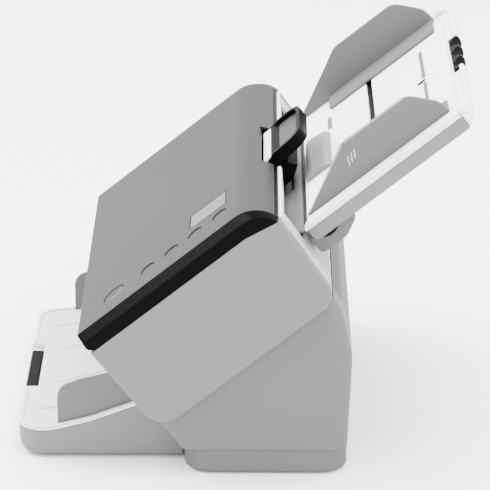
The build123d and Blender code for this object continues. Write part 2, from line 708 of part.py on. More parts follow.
def tray_frame():
    """Rim of the tray: raised edges with the lower end rounded about the hinge."""
    start = TRAY_HINGE[0]
    deck = outline((start, TRAY_SEAM + SEAM), (CAP_SEAM, TRAY_SEAM + SEAM), (CAP_SEAM, DECK_TOP - 0.3),
                   (220.5, DECK_TOP - 0.3), (219.2, TRAY_SEAM + SEAM))
    body = across(deck, head_frame, -TRAY_HALF, TRAY_HALF)
    rim = outline((219.2, TRAY_SEAM + SEAM), (CAP_SEAM, TRAY_SEAM + SEAM), (CAP_SEAM, RIM_TOP),
                  (224, RIM_TOP, 6), (217.6, 66))
    edge = across(rim, head_frame, 119.5, TRAY_HALF)
    top_edges = edge.edges().filter_by(lambda e: abs(e.center().X - TRAY_HALF) < 0.01 and rim_edge(e))
    edge = fillet(top_edges, 1.6)
    for part in both_sides(edge):
        body += part
    body -= face_plate(rectangle((-104.5, 104.5), (222, CAP_SEAM + 5)), (60, 80))
    return body


def rim_edge(edge):
    centre = edge.center()
    y = centre.Y + FOOTPRINT_MIDDLE
    return -y * SIN + centre.Z * COS > RIM_TOP - 0.2


def tray_deck():
    """Pale sheet the paper lies on."""
    plate = face_plate(rectangle((-104.2, 104.2), (222.3, CAP_SEAM)), (TRAY_SEAM + SEAM, DECK_TOP))
    plate -= face_plate(rectangle((-103, 103), (SLOT_S - SLOT_WIDTH / 2, SLOT_S + SLOT_WIDTH / 2), 2),
                        (60, 70))
    for s in (261.3, 333.0):
        plate -= face_plate(Pos(5, s) * Ellipse(2.4, 4.2), (60, 70))
    bar = rectangle((-67, 67), (333.5, 338.0), 1.5)
    plate += face_plate(bar, (DECK_TOP, DECK_TOP + 0.5)) - face_plate(Pos(5, 333.0) * Ellipse(3.4, 5.2),
                                                                      (60, 70))
    return plate


def pick_module_cover():
    """Grey low hump over the feed module at the foot of the tray."""
    base = DECK_TOP + 0.05
    hump = outline((222.6, base), (246, base), (242.5, 70.6, 5), (229, 71.8, 6), (224.0, 70.0, 2))
    body = across(hump, head_frame, -38, 38)
    inner = outline((224.6, base - 1), (243.5, base - 1), (240.8, 69.4, 3), (229.2, 70.4, 4),
                    (225.4, 69.0))
    return body - across(inner, head_frame, -36.6, 36.6)


def side_guide():
    """Right paper guide: an upright fin on a flat foot, with the stem that drops through the slot."""
    fin = outline((224.0, 67.0), (222.4, 69.0, 2), (276.5, GUIDE_TOP, 14), (335.5, GUIDE_TOP, 14),
                  (353.0, 78, 18), (353.0, 67.0))
    body = across(fin, head_frame, GUIDE_X - GUIDE_T / 2, GUIDE_X + GUIDE_T / 2)
    foot = rectangle((GUIDE_FOOT_X, GUIDE_X), (248.5, 352), 1)
    body += face_plate(foot, (DECK_TOP + 0.9, DECK_TOP + 2.3))
    half = SLOT_WIDTH / 2 - 0.4
    stem = face_plate(rectangle((96, 102), (SLOT_S - half, SLOT_S + half)),
                      (RACK_N[1] - 0.1, DECK_TOP + 1.2))
    return body + stem


RACK_N = (59.4, 63.0)
RACK_PITCH_S = SLOT_S - PINION_R


def rack_outline():
    """Rack along X on the low side of the pinion, its teeth pointing up the slope."""
    pitch = pi * MODULE
    half_tooth = pitch / 4 - BACKLASH / 4
    tip, root = ADDENDUM * MODULE, DEDENDUM * MODULE
    start, count = -22.0, 31
    corners = [(102.0, RACK_PITCH_S - root - 3.5), (102.0, RACK_PITCH_S - root)]
    first = round(start / pitch)
    for k in reversed(range(first, first + count)):
        centre = k * pitch
        corners += [(centre + half_tooth + root * tan(PRESSURE), RACK_PITCH_S - root),
                    (centre + half_tooth - tip * tan(PRESSURE), RACK_PITCH_S + tip),
                    (centre - half_tooth + tip * tan(PRESSURE), RACK_PITCH_S + tip),
                    (centre - half_tooth - root * tan(PRESSURE), RACK_PITCH_S - root)]
    corners += [(first * pitch - 3.0, RACK_PITCH_S - root),
                (first * pitch - 3.0, RACK_PITCH_S - root - 3.5)]
    return outline(*corners)


def guide_rack():
    """Right guide's rack; its arm joins the stem clear of the pinion."""
    body = face_plate(rack_outline(), RACK_N)
    low = RACK_PITCH_S - DEDENDUM * MODULE - 3.5
    return body + face_plate(rectangle((96, 102), (low, SLOT_S + SLOT_WIDTH / 2 - 0.4)),
                             (RACK_N[0], RACK_N[1] - 0.1))


def guide_pinion():
    """Involute pinion under the middle of the slot."""
    base_r = PINION_R * cos(PRESSURE)
    tip_r = PINION_R + ADDENDUM * MODULE
    root_r = PINION_R - DEDENDUM * MODULE
    involute = tan(PRESSURE) - PRESSURE
    half_angle = (pi * MODULE / 2 - BACKLASH / 2) / 2 / PINION_R
    flank = []
    steps = 6
    for k in range(steps + 1):
        radius = max(base_r, root_r) + (tip_r - max(base_r, root_r)) * k / steps
        roll = sqrt(max((radius / base_r) ** 2 - 1, 0.0))
        angle = half_angle + involute - (roll - acos(base_r / radius))
        flank.append((radius, angle))
    corners = []
    for tooth in range(PINION_TEETH):
        middle = 2 * pi * (tooth + 0.5) / PINION_TEETH - pi / 2
        rising = [(root_r, -half_angle - involute)] + [(r, -a) for r, a in flank]
        falling = [(r, a) for r, a in reversed(flank)] + [(root_r, half_angle + involute)]
        corners += [(r * cos(middle + a), r * sin(middle + a)) for r, a in rising + falling]
    face = Pos(0, SLOT_S) * outline(*corners) - Pos(0, SLOT_S) * Circle(2.0 + RUNNING)
    return face_plate(face, (RACK_N[0] + 0.1, RACK_N[1] - 0.1))


def tray_extension():
    """Full-width end cap on a blade that slides inside the tray."""
    profile = outline((CAP_SEAM + SEAM, TRAY_BOTTOM), (TRAY_END - 8.5, TRAY_BOTTOM, 6),
                      (TRAY_END, 63.5, 6), (TRAY_END, RIM_TOP, 1.5), (CAP_SEAM + SEAM, RIM_TOP - 0.2))
    cap = across(profile, head_frame, -TRAY_HALF, TRAY_HALF)
    cap &= face_plate(rectangle((-TRAY_HALF, TRAY_HALF), (300, TRAY_END), CAP_CORNER), (40, 80))
    hollow = outline((CAP_SEAM, TRAY_BOTTOM + 2), (361.2, TRAY_BOTTOM + 2), (368.3, 64.0),
                     (368.3, DECK_TOP - 1.8), (CAP_SEAM, DECK_TOP - 1.8))
    room = rectangle((-TRAY_HALF + WALL, TRAY_HALF - WALL), (300, TRAY_END - WALL), CAP_CORNER - WALL)
    cap -= across(hollow, head_frame, -TRAY_HALF, TRAY_HALF) & face_plate(room, (40, 80))
    cap -= face_plate(rectangle((-119, 119), (330, 368.0), 14), (DECK_TOP, 80))
    cap -= face_plate(rectangle((-37.5, 37.5), (362.0, 380)), (50, 80))
    blade = face_plate(rectangle((-86, 86), (246, 361.6)), (TRAY_BOTTOM + 2.3, TRAY_BOTTOM + 3.9))
    blade -= face_plate(rectangle((-6.2, 6.2), (SLOT_S - 76, SLOT_S + 6.2), 3), (50, 80))
    neck = head_block((-86, 86), (CAP_SEAM + SEAM, 361.6), (TRAY_BOTTOM + 2.4, DECK_TOP - 1.6))
    return cap + blade + neck


def extension_grip():
    """Dark three-scoop finger grip in the middle of the end cap."""
    block = outline((362.2, TRAY_BOTTOM + 3.0), (366, TRAY_BOTTOM + 3.0, 2), (TRAY_END - 0.3, 62, 4),
                    (TRAY_END - 0.3, 68.6, 2.5), (362.2, 68.6, 1))
    body = across(block, head_frame, -37.2, 37.2)
    for x in (-24.8, 0.0, 24.8):
        scoop = face_frame(68.0).location * Pos(x, 374.5) * Rot(X=90) * Sphere(11.2)
        body -= scoop
    return body


def tray_support():
    """Rounded bracket under the tray with the knuckles its hinge pins turn in."""
    belly = outline((213.6, 42.0), (216.0, 40.0, 2), (236, 39.4, 16), (252.4, 48.0, 9),
                    (252.4, TRAY_BOTTOM - 0.5), (213.6, TRAY_BOTTOM - 0.5))
    belly -= tray_barrel(12.4)
    body = across(belly, head_frame, -118, 118)
    hollow = outline((216.2, 44.2), (236.5, 42.2, 10), (249.8, 49.3, 6), (249.8, 60), (216.2, 60))
    body -= across(hollow, head_frame, -115, 115)
    knuckle = Pos(*TRAY_HINGE) * Circle(4.2)
    knuckle += outline((TRAY_HINGE[0] - 4.2, TRAY_HINGE[1]), (TRAY_HINGE[0] + 4.2, TRAY_HINGE[1]),
                       (TRAY_HINGE[0] + 6.5, 41.5), (TRAY_HINGE[0] - 9, 41.5))
    knuckle -= Pos(*TRAY_HINGE) * Circle(HINGE_R + RUNNING)
    for part in both_sides(across(knuckle, head_frame, 100, 108)):
        body += part
    return body


# ---------------------------------------------------------------- output tray
def out_top_line(lift=0.0):
    """Points along the top of the output tray's side seam, front to back."""
    return [(-62.0, 21.6 + lift), (-31.0, 29.6 + lift), (4.0, 42.8 + lift), (9.0, 44.7 + lift)]


def out_plan(inset=0.0):
    return rectangle((-OUT_HALF + inset, OUT_HALF - inset), (OUT_FRONT + inset, 60), OUT_CORNER - inset)


def out_lower_side(inset=0.0, lift=0.0):
    line = out_top_line(-SEAM + lift)
    return outline((OUT_FRONT + inset, line[0][1]), (OUT_FRONT + inset, 3.2 + inset, 10),
                   (38.2 - inset, 3.2 + inset), (38.2 - inset, 18.8), (33.0 - inset, 20.5),
                   (24.0 - inset, 29.0), (line[3][0] - inset, line[3][1]), line[2], (*line[1], 80),
                   (*line[0], 60))


def output_tray_shell():
    body = across(out_lower_side(), desk_frame, -OUT_HALF, OUT_HALF)
    body &= extrude(floor_frame(0) * out_plan(), amount=90)
    inner = across(out_lower_side(WALL, 5), desk_frame, -OUT_HALF + WALL, OUT_HALF - WALL)
    body -= inner & extrude(floor_frame(0) * out_plan(WALL), amount=90)
    tongue = desk_block((-100, 100), (20, 122), (9.0, 17.0)) - desk_block((-97.5, 97.5), (33, 119),
                                                                          (11.0, 20))
    body = body + tongue
    body -= desk_block((-47, 47), (OUT_FRONT - 2, -70), (8, 30))
    return body


def output_tray_deck():
    low, high = out_top_line(0.0), out_top_line(2.4)
    band = outline((OUT_FRONT, low[0][1]), (*low[0], 60), (*low[1], 80), low[2], low[3],
                   (high[3][0] + 0.6, high[3][1]), high[2], (*high[1], 80), (*high[0], 60),
                   (OUT_FRONT, high[0][1], 2.0))
    rim = outline((OUT_FRONT, low[0][1]), (*low[0], 60), (*low[1], 80), low[2], low[3],
                  (high[3][0] + 0.6, high[3][1] + 1), (high[2][0], high[2][1] + 1),
                  (high[1][0], high[1][1] + 1, 80), (high[0][0], high[0][1] + 1, 60),
                  (OUT_FRONT, high[0][1] + 1, 2.6))
    plan = extrude(floor_frame(0) * out_plan(), amount=90)
    inner = extrude(floor_frame(0) * rectangle((-OUT_HALF + 3, OUT_HALF - 3), (OUT_FRONT + 3, 60),
                                               OUT_CORNER - 3), amount=90)
    body = (across(band, desk_frame, -OUT_HALF,
                   OUT_HALF) & plan) + ((across(rim, desk_frame, -OUT_HALF, OUT_HALF) & plan) - inner)
    for x, start in ((-82, -73), (-33, -64), (0, -60), (33, -64), (82, -73)):
        rib = out_top_line(3.0)
        line = outline((start, 20), (4, 40), (4, rib[2][1]), (*rib[1], 80),
                       (start + 2, rib[0][1] + 0.2, 2))
        body += across(line, desk_frame, x - 0.8, x + 0.8) & across(rim, desk_frame, -OUT_HALF,
                                                                    OUT_HALF)
    body -= desk_block((-44.7, 44.7), (OUT_FRONT - 2, -74.8), (8, 40))
    body += stop_pocket()
    for x in (-OUT_FIN_X, OUT_FIN_X):
        body -= desk_block((x - 1.5, x + 1.5), (-50, 3), (20, 60)) & across(band, desk_frame, -OUT_HALF,
                                                                            OUT_HALF)
    return body


def output_guide():
    """Right upright fin of the output tray."""
    top = out_top_line(2.4)
    fin = outline((-55.8, top[0][1] + 1.8), (-55.8, 55.0, 11), (-40, 61.4, 20), (-17, 67.0, 30),
                  (-6.0, 69.0, 4), (2.5, 50), (2.5, 44.8), (-31.0, top[1][1] + 0.15, 80))
    body = across(fin, desk_frame, OUT_FIN_X - 1.4, OUT_FIN_X + 1.4)
    tab = outline((-49.6, 24.2), (-49.6, 30), (2.4, 50), (2.4, 42.4), (-31, 29.9))
    return body + across(tab, desk_frame, OUT_FIN_X - 1.4, OUT_FIN_X + 1.4)


def stop_pocket():
    """Lining of the pocket that the end stop folds into, with the finger notch at its left end."""
    floor_z = 10.0
    body = desk_block((-44.7, 44.7), (OUT_FRONT + 0.3, -74.8), (floor_z, 23.8))
    body -= desk_block((STOP_LOW - 0.4, STOP_HIGH + 0.4), (OUT_FRONT - 2, -75.7), (floor_z + 2, 30))
    body -= desk_block((-43.2, STOP_LOW - 3.4), (OUT_FRONT - 2, -76.0), (19.0, 30))
    return body - rod((STOP_LOW - 3.2, STOP_HIGH + 3.2), STOP_AXIS, 1.2, frame=desk_frame)


def end_stop():
    """Flap that stands up to catch the front edge of the stack."""
    y, z = STOP_AXIS
    side = outline((OUT_FRONT + 0.2, 12.4, 1), (-83.2, 12.4, 1), (-83.2, z), (y, z), (y, z + 2.4),
                   (OUT_FRONT + 0.2, z + 2.4, 2.0)) + Pos(y, z) * Circle(2.4)
    return across(side - Pos(y, z) * Circle(1.15), desk_frame, STOP_LOW, STOP_HIGH)


def stop_pins():
    return [rod((STOP_LOW - 3, STOP_LOW + 6), STOP_AXIS, 1.15, frame=desk_frame),
            rod((STOP_HIGH - 6, STOP_HIGH + 3), STOP_AXIS, 1.15, frame=desk_frame)]


# ---------------------------------------------------------------- assembly
def build_nodes():
    left = lambda shape: mirror(shape, about=Plane.YZ)
    right_side, guide = side_cover(), side_guide()
    rack = guide_rack()
    nodes = {
        "rubber_feet": rubber_feet(), "base_plinth": base_plinth(), "base_screws": base_screws(),
        "stand_housing": stand_housing(), "rear_cover": rear_cover(), "head_housing": head_housing(),
        "right_side_cover": right_side, "left_side_cover": left(right_side),
        "chassis_plates": both_sides(chassis_plate()),
        "lower_paper_guide": lower_paper_guide(), "lower_image_sensor": lower_image_sensor(),
        "lower_sensor_glass": lower_sensor_glass(),
        "roller_bushes": roller_bushes(), "tray_support": tray_support(),
        "main_board": main_board(), "power_inlet": power_inlet(), "usb_port": usb_port(),
        "drive_motor": drive_motor(), "motor_pulley": motor_pulley(), "drive_belt": drive_belt(),
        "entry_roller_shaft": drive_shaft(ENTRY_S),
        "entry_roller_tyres": roller_tyres(ENTRY_S, DRIVE_N, DRIVE_R, DRIVE_TYRES),
        "exit_roller_shaft": drive_shaft(EXIT_S),
        "exit_roller_tyres": roller_tyres(EXIT_S, DRIVE_N, DRIVE_R, DRIVE_TYRES),
        "pick_roller_shaft": rod((-128.5, 128.5), (PICK_S, PICK_N), SHAFT_R),
        "pick_roller_tyres": roller_tyres(PICK_S, PICK_N, PICK_R, (-13.0, 13.0)),
        "cover_skin": cover_skin(), "cover_frame": cover_frame(), "cover_liner": cover_liner(),
        "upper_image_sensor": upper_image_sensor(), "upper_sensor_glass": upper_sensor_glass(),
        "cover_hinge_pins": hinge_pins(), "panel_board": panel_board(), "display_window": display_window(),
        "pinch_carriers": pinch_carriers(ENTRY_S) + pinch_carriers(EXIT_S) + latch_brackets(),
        "entry_pinch_roller": [pinch_axle(ENTRY_S)] + pinch_tyres(ENTRY_S),
        "exit_pinch_roller": [pinch_axle(EXIT_S)] + pinch_tyres(EXIT_S),
        "separation_holder": separation_holder(),
        "separation_roller": [rod((-25.5, 25.5), (PICK_S, SEPARATION_N), SEPARATION_R, bore=1.5),
                              rod((-29.8, 29.8), (PICK_S, SEPARATION_N), 1.5)],
        "power_button": face_button(POWER_S, POWER_R),
        "release_lever": release_lever(), "latch_shaft": [latch_shaft()] + latch_hooks(),
        "tray_shell": tray_shell(), "tray_frame": tray_frame(), "tray_deck": tray_deck(),
        "tray_hinge_pins": tray_hinge_pins(),
        "pick_module_cover": pick_module_cover(),
        "right_side_guide": guide + rack, "left_side_guide": left(guide) + turned_half(rack),
        "guide_pinion": guide_pinion(), "tray_extension": tray_extension(), "extension_grip": extension_grip(),
        "output_tray_shell": output_tray_shell(), "output_tray_deck": output_tray_deck(),
        "output_guides": both_sides(output_guide()),
        "end_stop": [end_stop()] + stop_pins(),
    }
    for name, s in BUTTONS.items():
        nodes[name] = face_button(s, BUTTON_R)
    return nodes


def turned_half(shape):
    """Copy turned half a turn about the pinion's axis."""
    origin = face_frame(0).from_local_coords((0, SLOT_S, 0))
    return shape.rotate(Axis(origin, face_frame(0).z_dir), 180)


def solids_of(shape):
    parts = shape if isinstance(shape, list) else [shape]
    return [solid for part in parts for solid in part.solids()]


os.makedirs("parts", exist_ok=True)
for node, shape in build_nodes().items():
    solids = solids_of(shape)
    export_step(solids[0] if len(solids) == 1 else Compound(children=solids), f"parts/{node}.step")
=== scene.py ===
"""Desktop document scanner: looks, detail pieces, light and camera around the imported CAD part."""
import json
import math
import bmesh
import bpy
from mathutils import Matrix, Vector


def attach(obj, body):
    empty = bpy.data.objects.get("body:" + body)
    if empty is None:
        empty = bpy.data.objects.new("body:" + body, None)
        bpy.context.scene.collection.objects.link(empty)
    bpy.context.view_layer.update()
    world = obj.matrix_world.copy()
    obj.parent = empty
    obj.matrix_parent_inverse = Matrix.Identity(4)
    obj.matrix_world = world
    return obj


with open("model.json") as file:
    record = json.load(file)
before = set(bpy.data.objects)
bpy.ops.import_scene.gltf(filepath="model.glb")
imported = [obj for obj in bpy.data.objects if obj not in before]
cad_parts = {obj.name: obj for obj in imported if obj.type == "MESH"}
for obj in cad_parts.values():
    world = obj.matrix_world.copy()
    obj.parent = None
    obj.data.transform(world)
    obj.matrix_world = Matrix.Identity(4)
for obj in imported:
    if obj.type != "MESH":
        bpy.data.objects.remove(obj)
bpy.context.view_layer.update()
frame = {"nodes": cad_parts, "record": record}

# The head leans back by this angle; its own frame has s up the slope and n out of it.
TILT = math.radians(38.7)
COS, SIN = math.cos(TILT), math.sin(TILT)
MIDDLE = 82.18           # from the desk datum to the origin, mm

# Surfaces that the detail pieces sit on, in mm.
DECK_TOP = 66.5          # n of the input tray's deck
BAR_TOP = DECK_TOP + 0.5 # n of the raised bar across that deck
FACE = 111.0             # n of the control face
BUTTON_X = 117.5         # middle of the column of push buttons
FIN_SIDE = 118.5         # x of the outer face of a side guide
FIN_TOP = 98.5           # n of the top edge of a side guide
LEVER_DISH = 98.2        # n of the top of the inlay in the release lever's dish
PORT_DEPTH = 150.0       # desk y where the contacts in the ports begin


# ---------------------------------------------------------------- materials
def shader(name):
    mat = bpy.data.materials.new(name)
    mat.use_nodes = True
    tree = mat.node_tree
    return mat, tree, tree.nodes["Principled BSDF"]


def fine_grain(tree, bsdf, scale, strength, distance, edge=0.0):
    """Moulded surface grain, with an optional softened edge, fed to the normal."""
    noise = tree.nodes.new("ShaderNodeTexNoise")
    noise.inputs["Scale"].default_value = scale
    noise.inputs["Detail"].default_value = 3.0
    coords = tree.nodes.new("ShaderNodeTexCoord")
    tree.links.new(coords.outputs["Object"], noise.inputs["Vector"])
    bump = tree.nodes.new("ShaderNodeBump")
    bump.inputs["Strength"].default_value = strength
    bump.inputs["Distance"].default_value = distance
    tree.links.new(noise.outputs["Fac"], bump.inputs["Height"])
    if edge:
        bevel = tree.nodes.new("ShaderNodeBevel")
        bevel.samples = 6
        bevel.inputs["Radius"].default_value = edge
        tree.links.new(bevel.outputs["Normal"], bump.inputs["Normal"])
    tree.links.new(bump.outputs["Normal"], bsdf.inputs["Normal"])
    return noise, coords


def toned(tree, coords, bsdf, color, spread, scale, rough, rough_spread):
    """Base colour and roughness with a slow, faint variation over the surface."""
    cloud = tree.nodes.new("ShaderNodeTexNoise")
    cloud.inputs["Scale"].default_value = scale
    cloud.inputs["Detail"].default_value = 2.0
    tree.links.new(coords.outputs["Object"], cloud.inputs["Vector"])
    mix = tree.nodes.new("ShaderNodeMix")
    mix.data_type = "RGBA"
    mix.inputs["A"].default_value = (*[c * (1 - spread) for c in color], 1)
    mix.inputs["B"].default_value = (*[min(1, c * (1 + spread)) for c in color], 1)
    tree.links.new(cloud.outputs["Fac"], mix.inputs["Factor"])
    tree.links.new(mix.outputs["Result"], bsdf.inputs["Base Color"])
    span = tree.nodes.new("ShaderNodeMapRange")
    span.inputs["To Min"].default_value = rough - rough_spread
    span.inputs["To Max"].default_value = rough + rough_spread
    tree.links.new(cloud.outputs["Fac"], span.inputs["Value"])
    tree.links.new(span.outputs["Result"], bsdf.inputs["Roughness"])


def plastic(name, color, rough=0.5, grain=900.0, bump=0.12, edge=0.0006, spread=0.02, level=0.10):
    """Moulded plastic; color may be one number for a neutral grey."""
    tint = color if isinstance(color, tuple) else (color, color, color)
    mat, tree, bsdf = shader(name)
    _, coords = fine_grain(tree, bsdf, grain, bump, 0.0002, edge)
    toned(tree, coords, bsdf, tint, spread, 14.0, rough, 0.03)
    bsdf.inputs["Specular IOR Level"].default_value = level
    return mat


def painted(name, color, rough=0.42):
    """Satin silver paint."""
    mat, tree, bsdf = shader(name)
    _, coords = fine_grain(tree, bsdf, 1600.0, 0.08, 0.0002, 0.0006)
    toned(tree, coords, bsdf, color, 0.03, 9.0, rough, 0.03)
    bsdf.inputs["Specular IOR Level"].default_value = 0.10
    return mat


def rubber(name, color, rough=0.8):
    mat, tree, bsdf = shader(name)
    _, coords = fine_grain(tree, bsdf, 1400.0, 0.35, 0.0003, 0.0003)
    toned(tree, coords, bsdf, color, 0.06, 30.0, rough, 0.05)
    bsdf.inputs["Specular IOR Level"].default_value = 0.1
    return mat


def metal(name, color, rough=0.32):
    """Bare metal with fine lines drawn along X."""
    mat, tree, bsdf = shader(name)
    noise, coords = fine_grain(tree, bsdf, 160.0, 0.1, 0.0001)
    mapping = tree.nodes.new("ShaderNodeMapping")
    mapping.inputs["Scale"].default_value = (1, 60, 60)
    tree.links.new(coords.outputs["Object"], mapping.inputs["Vector"])
    tree.links.new(mapping.outputs["Vector"], noise.inputs["Vector"])
    toned(tree, coords, bsdf, color, 0.05, 40.0, rough, 0.05)
    bsdf.inputs["Metallic"].default_value = 1.0
    return mat


def glass(name):
    mat, tree, bsdf = shader(name)
    _, coords = fine_grain(tree, bsdf, 60.0, 0.01, 0.0001)
    toned(tree, coords, bsdf, (0.80, 0.90, 0.88), 0.01, 8.0, 0.03, 0.01)
    bsdf.inputs["Transmission Weight"].default_value = 0.9
    bsdf.inputs["IOR"].default_value = 1.5
    return mat


def board(name):
    """Green solder resist with faint tracks."""
    mat, tree, bsdf = shader(name)
    _, coords = fine_grain(tree, bsdf, 700.0, 0.15, 0.0002)
    brick = tree.nodes.new("ShaderNodeTexBrick")
    brick.inputs["Scale"].default_value = 260.0
    brick.inputs["Color1"].default_value = (0.012, 0.11, 0.045, 1)
    brick.inputs["Color2"].default_value = (0.010, 0.095, 0.04, 1)
    brick.inputs["Mortar"].default_value = (0.03, 0.19, 0.08, 1)
    tree.links.new(coords.outputs["Object"], brick.inputs["Vector"])
    tree.links.new(brick.outputs["Color"], bsdf.inputs["Base Color"])
    bsdf.inputs["Roughness"].default_value = 0.35
    return mat


# The maker of each look, and what it is called with after the look's own name.
MAKERS = {
    "foot_rubber": (rubber, (0.03, 0.03, 0.032)),
    "plinth_plastic": (plastic, 0.1, 0.55),
    "stand_plastic": (plastic, 0.105, 0.55),
    # The rear cover is far darker than the side covers: painted shade on the back of the machine, which
    # faces away from the lamps.
    "rear_plastic": (plastic, 0.055, 0.55),
    "head_plastic": (plastic, 0.34),
    "side_plastic": (plastic, 0.125, 0.55),
    "screw_steel": (metal, (0.45, 0.45, 0.47)),
    "chassis_steel": (metal, (0.58, 0.59, 0.61), 0.4),
    "paper_guide_plastic": (plastic, 0.09, 0.4),
    "sensor_glass": (glass,),
    "bush_plastic": (plastic, (0.4, 0.39, 0.36), 0.4),
    "support_plastic": (plastic, 0.12),
    "board_green": (board,),
    "port_steel": (metal, (0.65, 0.65, 0.67), 0.25),
    "motor_steel": (metal, (0.38, 0.39, 0.41), 0.4),
    "pulley_aluminium": (metal, (0.75, 0.75, 0.77), 0.3),
    "belt_rubber": (rubber, (0.025, 0.025, 0.027), 0.7),
    "shaft_steel": (metal, (0.66, 0.66, 0.68), 0.22),
    "roller_rubber": (rubber, (0.06, 0.06, 0.065), 0.75),
    "panel_silver": (painted, (0.0245, 0.0228, 0.0236), 0.45),
    "liner_white": (plastic, 0.72, 0.45),
    "button_grey": (painted, (0.03, 0.0282, 0.0291), 0.38),
    "carrier_plastic": (plastic, 0.2, 0.45),
    "tray_plastic": (plastic, 0.8),
    # The look of the tray's shell is a darker copy of tray_plastic: painted shade on the shell's side walls,
    # which are the same white plastic as the rest of the tray.
    "tray_shell_plastic": (plastic, 0.15),
    "tray_deck_plastic": (plastic, 0.86),
    "hump_plastic": (plastic, 0.17, 0.45),
    # A pale grey for painted highlights on the side guides: their ridges and their lit front and top edges.
    "fin_plastic": (plastic, 0.105),
    "fin_edge": (plastic, 0.42, 0.4),
    "pinion_plastic": (plastic, (0.4, 0.39, 0.36), 0.4),
    "output_plastic": (plastic, 0.14),
    "output_deck_plastic": (plastic, 0.6),
    "lever_silver": (painted, (0.028, 0.028, 0.029), 0.4),
    "brass": (metal, (0.75, 0.55, 0.25), 0.3),
}
LOOKS = {name: maker(name, *values) for name, (maker, *values) in MAKERS.items()}

# Dark parts: a low specular level keeps them black under the bright studio.
for name, color, rough in (("sensor_black", 0.002, 0.4), ("holder_black", 0.002, 0.4),
                           ("stop_black", 0.003, 0.4), ("inlet_plastic", 0.003, 0.45),
                           ("extension_black", 0.006, 0.45)):
    LOOKS[name] = plastic(name, color, rough, level=0.02)
LOOKS["lever_black"] = plastic("lever_black", 0.002, 0.35, bump=0.06, edge=0.0008, level=0.015)
LOOKS["bezel_black"] = plastic("bezel_black", (0.0016, 0.0016, 0.0015), 0.28, grain=1200, bump=0.04,
                               edge=0.0008, level=0.015)
LOOKS["display_black"] = plastic("display_black", (0.085, 0.0835, 0.084), 0.25, grain=1200, bump=0.02,
                                 edge=0.0004, level=0.12)

# The tray's shell takes the darker copy of tray_plastic in place of its slot's look, as painted shade on its
# side walls.
SHADED_COPY = {"tray_shell": "tray_shell_plastic"}
SLOT_OF = {part["node"]: part["material_slot"] for part in frame["record"]["subparts"]}
for node, obj in frame["nodes"].items():
    for holder in obj.material_slots:
        holder.material = LOOKS[SHADED_COPY.get(node, SLOT_OF[node])]


# ---------------------------------------------------------------- shapes of detail pieces
def head_point(x, s, n):
    """Row frame point, in metres, from millimetres in the head's own frame."""
    return Vector((x, s * COS - n * SIN - MIDDLE, s * SIN + n * COS)) / 1000


def desk_point(x, y, z):
    return Vector((x, y - MIDDLE, z)) / 1000


HEAD_ORIGIN = head_point(0, 0, 0)
DESK_ORIGIN = desk_point(0, 0, 0)
# Three directions each: the two that a plan is drawn in, and the one it is raised along.
ON_HEAD = (Vector((1, 0, 0)), Vector((0, COS, SIN)), Vector((0, -SIN, COS)))
TO_THE_RIGHT = (Vector((0, COS, SIN)), Vector((0, -SIN, COS)), Vector((1, 0, 0)))
TO_THE_LEFT = (Vector((0, COS, SIN)), Vector((0, -SIN, COS)), Vector((-1, 0, 0)))
TO_THE_REAR = (Vector((1, 0, 0)), Vector((0, 0, 1)), Vector((0, 1, 0)))


def link_mesh(name, shape, look, body):
    """Object from a finished bmesh, riding a body, with the look as its one material."""
    mesh = bpy.data.meshes.new(name)
    shape.to_mesh(mesh)
    shape.free()
    obj = bpy.data.objects.new(name, mesh)
    bpy.context.scene.collection.objects.link(obj)
    mesh.materials.append(LOOKS[look])
    for face in mesh.polygons:
        face.use_smooth = False
    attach(obj, body)


def rounded(corners, radius, steps=5):
    """Closed list of 2-D points with every corner rounded."""
    points = []
    count = len(corners)
    for i, corner in enumerate(corners):
        here = Vector(corner)
        back = Vector(corners[i - 1]) - here
        ahead = Vector(corners[(i + 1) % count]) - here
        reach = min(radius, back.length * 0.45, ahead.length * 0.45)
        start = here + back.normalized() * reach
        end = here + ahead.normalized() * reach
        for k in range(steps + 1):
            f = k / steps
            points.append(start * (1 - f) ** 2 + here * 2 * f * (1 - f) + end * f ** 2)
    return points


def box_plan(u, v, radius):
    return rounded([(u[0], v[0]), (u[1], v[0]), (u[1], v[1]), (u[0], v[1])], radius)


def ellipse(u, v, ru, rv, count=28):
    return [(u + ru * math.cos(2 * math.pi * k / count), v + rv * math.sin(2 * math.pi * k / count))
            for k in range(count)]


def lifted(shape, plan, height, axes=ON_HEAD, origin=HEAD_ORIGIN):
    """One closed loop of vertices: the plan, in mm, at a height above its frame."""
    a, b, c = axes
    return [shape.verts.new(origin + (a * p[0] + b * p[1] + c * height) / 1000) for p in plan]


def bridge(shape, lower, upper):
    """Faces between two loops with the same number of vertices."""
    for i in range(len(lower)):
        j = (i + 1) % len(lower)
        shape.faces.new((lower[i], lower[j], upper[j], upper[i]))


def slab(name, plan, low, high, look, body, edge=0.15, axes=ON_HEAD, origin=HEAD_ORIGIN):
    """Plate with a softened top edge; plan is a list of points in the frame's first two axes, in mm."""
    middle = sum((Vector(p) for p in plan), Vector((0, 0))) / len(plan)
    shape = bmesh.new()
    loops = []
    for height, shrink in ((low, 0.0), (high - edge, 0.0), (high - edge * 0.3, edge * 0.3), (high, edge)):
        drawn_in = [Vector(p) - (Vector(p) - middle).normalized() * shrink for p in plan]
        loops.append(lifted(shape, drawn_in, height, axes, origin))
    for lower, upper in zip(loops, loops[1:]):
        bridge(shape, lower, upper)
    shape.faces.new(loops[-1])
    shape.faces.new(loops[0][::-1])
    bmesh.ops.recalc_face_normals(shape, faces=shape.faces)
    link_mesh(name, shape, look, body)


def ring(name, outer, inner, low, high, look, body):
    """Flat frame between two plans with the same number of points."""
    shape = bmesh.new()
    loops = [lifted(shape, plan, height)
             for plan, height in ((outer, low), (outer, high), (inner, high), (inner, low))]
    for lower, upper in zip(loops, loops[1:] + loops[:1]):
        bridge(shape, lower, upper)
    bmesh.ops.recalc_face_normals(shape, faces=shape.faces)
    link_mesh(name, shape, look, body)


